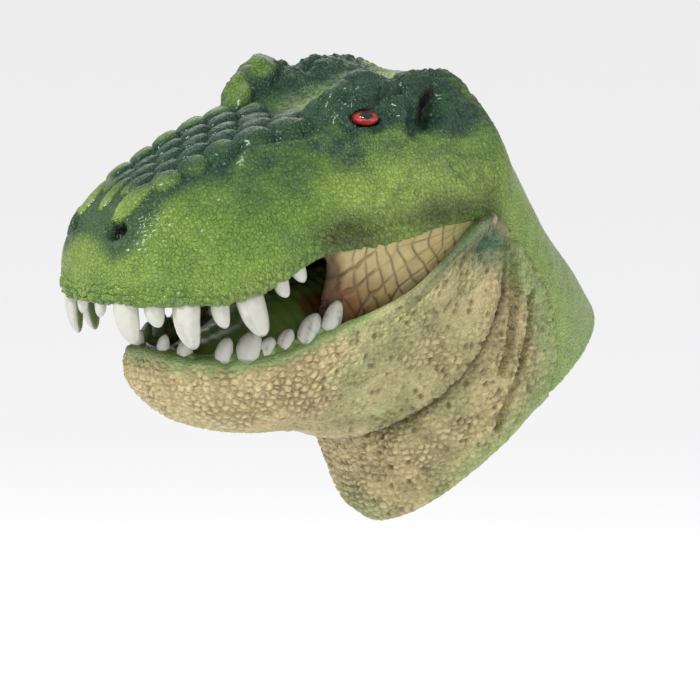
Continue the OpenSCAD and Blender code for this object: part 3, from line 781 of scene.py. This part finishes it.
def tooth(name, ribs, row, side, up, material):
    """One tooth: a broad cone, flatter on its outer face, that curves towards the back."""
    across, s, h, width, length, lean = row
    root = np.array([side * across, s, h])
    lean = math.radians(lean)
    axis = np.array([0, math.sin(lean), math.cos(lean) if up else -math.cos(lean)])
    places = np.linspace(0, 9, 400)
    edge = lip(ribs, places)
    nearest = np.argmin(np.abs(edge[:, 1] - s) + 0.5 * np.abs(edge[:, 0] - across))
    run = edge[min(nearest + 2, 399)] - edge[max(nearest - 2, 0)]
    outward = np.array([side * run[1], -run[0], 0]) / math.hypot(run[0], run[1])
    beside = np.cross(axis, outward)
    beside /= np.linalg.norm(beside)
    seed = int(across * 10 + s * 7 + (3 if up else 0) + (side + 1) * 50)
    steps, count = (34, 36) if fine else (16, 20)
    u = np.concatenate([np.linspace(-0.22, 0, 5)[:-1], np.linspace(0, 1, steps) ** 0.85 * 0.992])
    angle = np.linspace(0, 2 * math.pi, count, endpoint=False)
    u = np.where(u > 0, 1 - (1 - np.clip(u, 0, 1)) ** 1.4, u)
    swell = np.where(u < 0, 1 - 0.22 * (u / 0.22) ** 2, np.clip(1 - np.clip(u, 0, 1) ** 2.8, 0, 1) ** 0.52)
    along, round_it = np.meshgrid(u, angle, indexing="ij")
    flat = np.where(np.sin(round_it) > 0, 0.74, 0.66)
    ridge = 1 + 0.035 * np.cos(3 * round_it + seed) * step(0, 0.5, along) + 0.02 * np.cos(7 * round_it + seed)
    radius = width / 2 * 1.08 * swell[:, None] * ridge
    hook = 0.16 * length * np.clip(along, 0, 1) ** 2.2
    back = beside * np.sign(beside[1] if abs(beside[1]) > 0.2 else 1)
    points = (root + axis * (length * along)[..., None] + beside * (radius * np.cos(round_it))[..., None]
              + outward * (radius * flat * np.sin(round_it))[..., None] + back * hook[..., None]
              - outward * (0.08 * length * np.clip(along, 0, 1) ** 2)[..., None])
    bumps = layered(points + seed, 1.7, 103)[..., None] - 0.5
    off_axis = outward * np.sin(round_it)[..., None] + beside * np.cos(round_it)[..., None]
    points = points + bumps * 0.22 * off_axis
    streak = noise(np.stack([round_it * 2.2, along * 1.5, 0 * along + seed], axis=-1), 0.8, 107)
    patchiness = layered(points + seed, 0.9, 109)
    paint = mix(IVORY, GREY, (0.75 if up else 0.28) * step(0.55, 0.85, 0.55 * streak + 0.45 * patchiness))
    paint = mix(paint, GREY, 0.5 * step(0.86, 1.0, along) * step(0.35, 0.6, patchiness))
    unpainted = step(-0.30, -0.52, np.sin(round_it) + 0.25 * (patchiness - 0.5))
    paint = mix(paint, GUM, 0.95 * unpainted)
    paint = mix(paint, GUM, 0.75 * step(0.09, 0.0, along + 0.05 * (streak - 0.5)))
    solid, faces = loft(points)
    colours = np.concatenate([paint.reshape(-1, 3), [GUM, IVORY]])
    piece = make_piece(name.replace("tooth", "enamel"), solid, faces, colours, material, "tooth_paint")
    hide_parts(name)
    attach(piece, "lower_jaw" if up else "upper_head")


def gum(name, ribs, teeth, reach, lift, collar_rise, slot_material, body, up):
    """The ridge inside a lip, swollen into a collar round each tooth's root."""
    steps, count = (360, 28) if fine else (150, 16)
    a = np.linspace(-reach, reach, steps)
    middle, before, after = lip(ribs, a), lip(ribs, a - 0.12), lip(ribs, a + 0.12)
    run = after - before
    inward = np.stack([-run[:, 1], run[:, 0], 0 * a], axis=-1)
    inward /= np.linalg.norm(inward, axis=1, keepdims=True)
    middle = middle + 3.2 * inward + np.array([0, 0, lift])
    toward = 1 if up else -1
    angle = np.linspace(0, 2 * math.pi, count, endpoint=False)
    taper = np.clip((reach - np.abs(a)) / 0.5, 0.15, 1) ** 0.5
    wide, tall = 2.5 * taper[:, None], 2.6 * taper[:, None]
    points = (middle[:, None] + inward[:, None] * (wide * np.cos(angle))[..., None]
              + np.array([0, 0, toward]) * (tall * np.sin(angle))[..., None])
    m = mirrored(points)
    collar = sum(mound(m, root[:3] + [0, 0, 0.6 * toward], [root[3] * 0.62 + 0.5] * 3, 1.0)
                 for root in teeth)
    facing = np.clip(np.sin(angle), 0, 1)[None] ** 0.7
    points = points + np.array([0, 0, toward]) * ((collar_rise * collar + 0.2) * facing)[..., None]
    points = points - inward[:, None] * (0.5 * collar * facing)[..., None]
    points = points + 0.35 * (layered(points, 1.8, 113)[..., None] - 0.5)
    solid, faces = loft(points)
    paint = mix(GUM, FRINGE, (0.85 if up else 0.25) * step(0.45, 0.7, layered(solid, 2.4, 127)))
    paint = mix(paint, OLIVE, 0.5 * step(0.5, 0.7, layered(solid, 9, 131)))
    piece = make_piece(name + "_ridge", solid, faces, paint, slot_material, "gum_rubber")
    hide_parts(name)
    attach(piece, body)


def lining(name, ribs, span, lift, arch, up, material, slot, body, colours):
    """The palate or the mouth's floor: a thin ribbed sheet across the inside of the skin."""
    rows, cols = (120, 80) if fine else (60, 40)
    t, u = np.meshgrid(np.linspace(*span, rows + 1), np.linspace(-1, 1, cols + 1), indexing="ij")
    r = ribs_at(ribs, t)
    half = r[..., 0] - SKIN_WALL - 0.4 - 2.4 * step(7.2, 8.4, t) - 0.8 * step(8.4, 9.4, t)
    arch = arch * (1 - step(8.2, 9.8, t))
    mouth_side = 1 if up else -1
    face = np.stack([half * u, r[..., 1], r[..., 2] + lift + arch * (1 - u * u)], axis=-1)
    folds = 0.35 * np.sin(r[..., 1] * 1.35 + 1.5 * np.abs(u)) * (1 - u ** 4)
    folds = folds + 0.5 * (layered(face, 6, 137) - 0.5)
    face = face + np.array([0, 0, mouth_side]) * folds[..., None]
    back = face.copy()
    back[..., 2] -= mouth_side * 1.7
    paint = mix(colours[0], colours[1], step(0.35, 0.7, layered(face, 8, 139)))
    paint = mix(paint, MOUTH, step(5.4, 8.6, t))
    piece = make_piece(name + "_lining", *shell(face, back, paint, colours[1]), material, slot)
    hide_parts(name)
    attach(piece, body)


def tongue(material):
    """The broad tongue: a thick front part and a raised rear part with a fold between them."""
    steps, count = (120, 72) if fine else (60, 40)
    f = np.linspace(0, 1, steps)
    t = TONGUE_RIBS[0] + (TONGUE_RIBS[1] - TONGUE_RIBS[0]) * f
    r = ribs_at(LOWER_RIBS, t)
    floor_h = r[:, 2] - 2.6 - 3.0
    swell = np.clip(np.sin(np.pi * (0.05 + 0.90 * f)), 0, 1) ** 0.42
    half = (11.0 + 6.0 * step(0, 0.6, f)) * swell
    tall = (8.0 + 2.6 * step(0.45, 0.75, f)) * swell
    angle = np.linspace(0, 2 * math.pi, count, endpoint=False)
    c, s = np.cos(angle), np.sin(angle)
    body = np.sign(c) * np.abs(c) ** 0.8
    top = np.where(s > 0, np.abs(s) ** 0.85, -0.14 * np.abs(s))
    groove = np.where(s > 0, -1.7 * bell(c / 0.13), 0)
    points = np.stack([half[:, None] * body, np.broadcast_to(r[:, 1][:, None], (steps, count)),
                       floor_h[:, None] + 1.2 + tall[:, None] * top + groove * swell[:, None] * 0.8], axis=-1)
    m = mirrored(points)
    fold = bell(line_distance(m, [[6, 50, -3], [12, 50, -5.5], [16.5, 54, -8], [18, 60, -9]]) / 1.1)
    centre = np.stack([0 * f, r[:, 1], floor_h + 2], axis=-1)[:, None]
    inward = (centre - points) / (np.linalg.norm(centre - points, axis=-1, keepdims=True) + 1e-9)
    wrinkle = 0.5 * (layered(points, 5, 149) - 0.5) + 0.12 * np.sin(points[..., 1] * 2.1)
    points = points + inward * (1.3 * fold - wrinkle)[..., None]
    solid, faces = loft(points)
    x, s, _ = np.moveaxis(mirrored(solid), -1, 0)
    fleck = layered(solid, 2.0, 151)
    paint = mix(TONGUE, YELLOW_GREEN, 0.35 * layered(solid, 8, 157))
    stripe = step(56, 60, s + 2 * (fleck - 0.5)) * step(9, 12, x) * step(16.5, 14.5, x + 2 * (fleck - 0.5))
    paint = mix(paint, TONGUE_STRIPE, 0.85 * stripe)
    paint = mix(paint, FRINGE, 0.55 * step(60, 66, s) * step(14, 16, x))
    paint = mix(paint, MOUTH, 0.8 * step(40, 26, s) * step(9, 5, x))
    piece = make_piece("tongue_body", solid, faces, paint, material, "tongue_rubber")
    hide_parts("tongue")
    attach(piece, "lower_jaw")


def cheek_web(side, name, material):
    """The creased skin at a corner of the mouth: a fan round the hinge line, tucked behind both lips."""
    rows, cols = (112, 200) if fine else (56, 100)
    reach, turn = np.meshgrid(np.linspace(0, 1, rows + 1), np.linspace(24, -80, cols + 1), indexing="ij")
    middle = -15.0
    front = 48.0 - 7.0 * bell((turn - middle) / 12.0) - 16.0 * step(2, 20, turn)
    r = 2.5 + (front - 2.5) * reach
    a = np.radians(turn)
    sunk = np.interp(turn, [-80, -58, -30, -15, 0, 24], [10.5, 8.8, 7.8, 5.6, 3.0, 6.8])
    x = 37.3 - sunk * (r / 40) ** 1.5 - 1.6 * bell((turn - middle) / 10) * (r / 40)
    x = x - 3.0 * step(0.93, 1.0, reach)
    p = np.stack([x, HINGE_S - r * np.cos(a), HINGE_H + r * np.sin(a)], axis=-1)
    bend = 1.5 * (layered(p, 12, 163) - 0.5)
    ring = np.abs((r / 3.6 + 1.3 * bend + turn / 60) % 1 - 0.5) * 2
    ray = np.abs((turn / 8.5 + 1.2 * bend + r / 19) % 1 - 0.5) * 2
    ring_cut = step(0.80, 0.97, ring) * (0.45 + 0.55 * step(0.3, 0.55, noise(p, 7, 167)))
    ray_cut = step(0.76, 0.96, ray) * (0.35 + 0.65 * step(0.35, 0.6, noise(p, 8, 173)))
    cut = np.clip(np.maximum(ring_cut, ray_cut), 0, 1) * step(5, 9, r)
    n = normals(p, 1)
    n = n * np.sign(n[..., :1])
    p = p + n * (0.5 * (layered(p, 7, 179) - 0.5) - 0.75 * cut)[..., None]
    inner = p - np.array([1.7, 0, 0])
    paint = mix(OCHRE, TAN, 0.85 * step(0.30, 0.65, layered(p, 10, 181)))
    shade = 0.85 * step(24, 42, r) * step(-6, -30, turn) + 0.30 * step(34, 46, r)
    paint = mix(paint, WEB_SHADE, shade)
    # Painted shade in the web's creases.
    paint = mix(paint, WEB_CREASE, 0.62 * cut)
    paint = mix(paint, FRINGE, 0.5 * step(14, 5, r))
    # Painted shade: the edge tucked behind the lips painted dark brown.
    paint = mix(paint, BROWN, 0.8 * step(0.94, 1.0, reach))
    p[..., 0] *= side
    inner[..., 0] *= side
    piece = make_piece(name + "_skin", *shell(p, inner, paint, BROWN), material, "web_rubber")
    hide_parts(name)
    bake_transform(piece)


def gullet(material):
    """The fold that closes the back of the mouth: most of a tube round the hinge line."""
    rows, cols = (48, 96) if fine else (24, 48)
    u, across = np.meshgrid(np.linspace(0, 1, rows + 1), np.linspace(-1, 1, cols + 1), indexing="ij")
    a = np.radians(GULLET_WRAP * (0.5 - u))
    r = GULLET_R - 0.5 + 0.25 * np.sin(across * 9) + 0.2 * np.sin(u * 26)
    along = 33.0 * across
    p = np.stack([along, HINGE_S + r * np.cos(a), HINGE_H + r * np.sin(a)], axis=-1)
    r = r - 1.2
    inner = np.stack([along, HINGE_S + r * np.cos(a), HINGE_H + r * np.sin(a)], axis=-1)
    paint = mix(MOUTH, BROWN, layered(p, 5, 191))
    piece = make_piece("gullet_lining", *shell(p, inner, paint, MOUTH), material, "mouth_rubber")
    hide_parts("gullet_fold")
    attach(piece, "neck")


def eye(side, name, material):
    """A glossy red dome with a black pupil that is tall and narrow."""
    rings, count = (48, 64) if fine else (24, 32)
    polar = np.linspace(0.02, math.pi - 0.02, rings)
    angle = np.linspace(0, 2 * math.pi, count, endpoint=False)
    polar, angle = np.meshgrid(polar, angle, indexing="ij")
    look = np.array([0.86, -0.48, 0.10])
    look /= np.linalg.norm(look)
    level = np.cross([0, 0, 1], look)
    level /= np.linalg.norm(level)
    upright = np.cross(look, level)
    flat = np.stack([np.sin(polar) * np.cos(angle), np.sin(polar) * np.sin(angle), np.cos(polar)], axis=-1)
    bulge = 1 + 0.05 * step(0.5, 0.2, polar)
    p = EYE_AT + EYE_R * (flat[..., :1] * level * 1.12 + flat[..., 1:2] * upright * 0.62
                          + (flat[..., 2] * bulge)[..., None] * look)
    beside, over = flat[..., 0], flat[..., 1]
    pupil = step(0.50, 0.40, np.hypot(beside / 1.1, (over - 0.36) / 1.15))
    rim = step(0.74, 0.86, np.hypot(beside, over))
    paint = mix(RED, DARK_RED, np.maximum(0.6 * layered(p, 1.0, 193), rim))
    paint = mix(paint, BLACK, np.maximum(pupil, rim * 0.6))
    p[..., 0] *= side
    solid, faces = loft(p)
    colours = np.concatenate([paint.reshape(-1, 3), [RED, RED]])
    piece = make_piece(name + "_dome", solid, faces, colours, material, "eye_paint")
    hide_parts(name)
    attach(piece, "upper_head")


# Stage -----------------------------------------------------------------------

def floor():
    material = bpy.data.materials.new("pale_floor")
    material.use_nodes = True
    nodes = material.node_tree.nodes
    nodes["Principled BSDF"].inputs["Base Color"].default_value = (0.95, 0.95, 0.95, 1)
    nodes["Principled BSDF"].inputs["Roughness"].default_value = 0.9
    nodes["Principled BSDF"].inputs["Specular IOR Level"].default_value = 0.0
    mesh = bpy.data.meshes.new("floor")
    size, drop = 12.0, 0.16
    z = cad_low.z - drop
    corners = [(-size, -size, z), (size, -size, z), (size, size, z), (-size, size, z)]
    mesh.from_pydata(corners, [], [(0, 1, 2, 3)])
    mesh.materials.append(material)
    plane = bpy.data.objects.new("floor", mesh)
    bpy.context.scene.collection.objects.link(plane)


def softbox(name, at, aim, size, power):
    light = bpy.data.lights.new(name, "AREA")
    light.shape = "DISK"
    light.size = size
    light.energy = power
    lamp = bpy.data.objects.new(name, light)
    lamp.location = at
    lamp.rotation_euler = (aim - lamp.location).to_track_quat("-Z", "Y").to_euler()
    bpy.context.scene.collection.objects.link(lamp)


def stage():
    centre = (cad_low + cad_high) / 2
    azimuth, elevation, distance = math.radians(55), math.radians(8), 2.4
    back = Vector((math.sin(azimuth) * math.cos(elevation), -math.cos(azimuth) * math.cos(elevation),
                   math.sin(elevation)))
    aim = centre + Vector((0, 0.006, -0.0141))
    data = bpy.data.cameras.new("camera")
    data.sensor_width, data.lens = 36, 475
    camera = bpy.data.objects.new("camera", data)
    camera.location = aim + back * distance
    camera.rotation_euler = (-back).to_track_quat("-Z", "Y").to_euler()
    bpy.context.scene.collection.objects.link(camera)
    bpy.context.scene.camera = camera
    right = Vector((math.cos(azimuth), math.sin(azimuth), 0))
    softbox("key", centre + back * 0.55 - right * 0.45 + Vector((0, 0, 0.65)), centre, 0.2, 7.6)
    softbox("fill", centre + back * 0.5 + right * 0.7 + Vector((0, 0, 0.1)), centre, 0.4, 0.5)
    softbox("behind", centre - back * 0.7 + Vector((0, 0, 0.6)), centre, 0.6, 1.4)
    softbox("under", centre + back * 0.6 - right * 0.1 - Vector((0, 0, 0.12)), centre, 0.4, 0.3)
    world = bpy.data.worlds.new("studio")
    world.use_nodes = True
    world.node_tree.nodes["Background"].inputs["Color"].default_value = (1, 1, 1, 1)
    nodes, links = world.node_tree.nodes, world.node_tree.links
    ray = nodes.new("ShaderNodeLightPath")
    room = nodes.new("ShaderNodeMapRange")
    room.inputs["To Min"].default_value = 0.88
    room.inputs["To Max"].default_value = 0.42
    links.new(ray.outputs["Is Glossy Ray"], room.inputs["Value"])
    links.new(room.outputs["Result"], nodes["Background"].inputs["Strength"])
    bpy.context.scene.world = world
    bpy.context.scene.view_settings.view_transform = "Standard"


def build():
    green = rubber("painted_green_rubber", 0.33, 0.16, 0.0007, 0.85, coat=0.25, specks=0.04, pebble=0.0011)
    tan = rubber("painted_tan_rubber", 0.40, 0.14, 0.0008, 0.6, coat=0.10, pebble=0.0012)
    web = rubber("creased_web_rubber", 0.48, 0.14, 0.0009, 0.5)
    wet = rubber("dark_mouth_rubber", 0.40, 0.15, 0.0012, 0.4)
    gums = rubber("glossy_gum_rubber", 0.34, 0.16, 0.0011, 0.45, coat=0.25)
    tongue_rubber = rubber("damp_tongue_rubber", 0.42, 0.12, 0.0016, 0.35, coat=0.1)
    enamel = rubber("ivory_tooth_paint", 0.32, 0.06, 0.0006, 0.3, coat=0.2, specks=0.02)
    lacquer = rubber("red_eye_lacquer", 0.12, 0.06, 0.0010, 0.05, coat=1.0)
    upper_skin(green)
    lower_skin(tan)
    gum("upper_gum", UPPER_RIBS, UPPER_TEETH, 7.3, 2.6, 1.5, gums, "upper_head", False)
    gum("lower_gum", LOWER_RIBS, LOWER_TEETH, 6.2, -1.8, 0.9, gums, "lower_jaw", True)
    lining("palate", UPPER_RIBS, (1.3, 9.8), 2.6, 4.0, False, wet,
           "mouth_rubber", "upper_head", (BROWN, MOUTH))
    lining("mouth_floor", LOWER_RIBS, (1.3, 9.87), -2.6, -3.0, True, tongue_rubber,
           "floor_rubber", "lower_jaw", (OLIVE, GUM))
    tongue(tongue_rubber)
    gullet(wet)
    for side, word in ((1, "left"), (-1, "right")):
        eye(side, "eye_" + word, lacquer)
        cheek_web(side, "cheek_web_" + word, web)
        for number, row in enumerate(UPPER_TEETH, 1):
            tooth(f"upper_tooth_{word}_{number}", UPPER_RIBS, row, side, False, enamel)
        for number, row in enumerate(LOWER_TEETH, 1):
            tooth(f"lower_tooth_{word}_{number}", LOWER_RIBS, row, side, True, enamel)


stage()
floor()
build()
